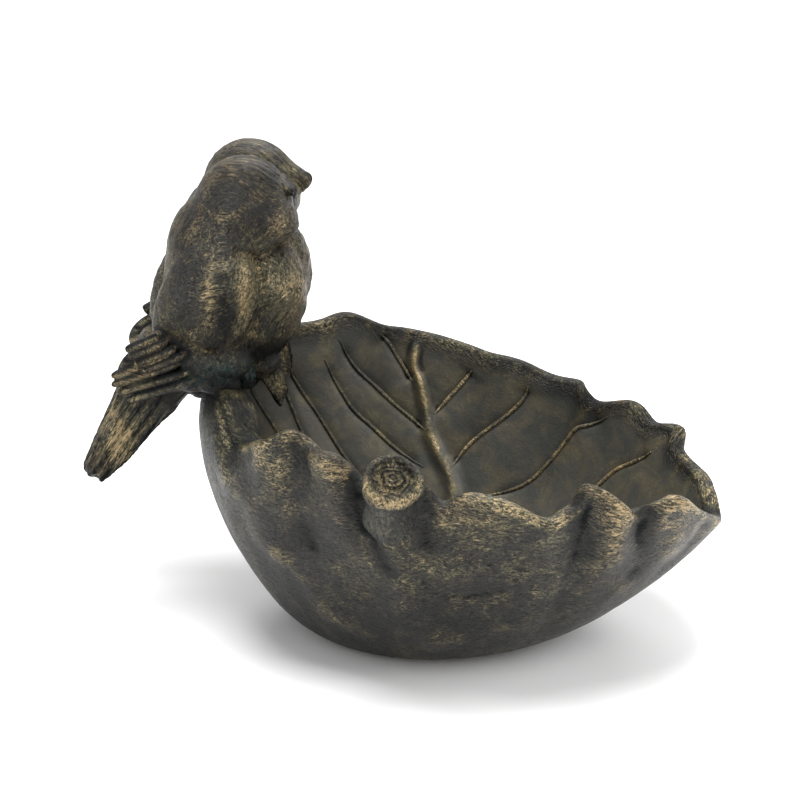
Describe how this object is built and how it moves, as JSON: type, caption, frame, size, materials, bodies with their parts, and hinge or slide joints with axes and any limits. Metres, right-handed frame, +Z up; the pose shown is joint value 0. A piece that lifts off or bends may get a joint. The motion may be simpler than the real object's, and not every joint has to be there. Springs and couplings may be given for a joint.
{
  "type": "table-top bird bath",
  "caption": "Leaf-shaped bird bath bowl with pleated rim and cut stem, and small birds perched on the rim, in patinated cast resin.",
  "frame": {"origin": "middle of the bounding box in plan, at the height of the surface that the foot pads stand on", "axes": "+Z up; +X from the perched birds to the leaf's pointed lobe; +Y from the cut stem to the leaf's tip"},
  "size_m": [0.2778, 0.1992, 0.212],
  "materials": {
    "leaf_resin": "satin",
    "plumage_resin": "satin",
    "stem_resin": "satin",
    "epoxy_putty": "matte",
    "steel": "satin",
    "rubber": "matte"
  },
  "bodies": {
    "root": {"leaf_bowl": "leaf_resin", "stem_stub": "stem_resin", "near_bird": "plumage_resin", "far_bird": "plumage_resin", "near_bird_epoxy_seat": "epoxy_putty", "far_bird_epoxy_seat": "epoxy_putty", "near_bird_left_leg_dowel": "steel", "near_bird_right_leg_dowel": "steel", "far_bird_left_leg_dowel": "steel", "far_bird_right_leg_dowel": "steel", "foot_pad_1": "rubber", "foot_pad_2": "rubber", "foot_pad_3": "rubber", "foot_pad_4": "rubber"}
  },
  "joints": []
}
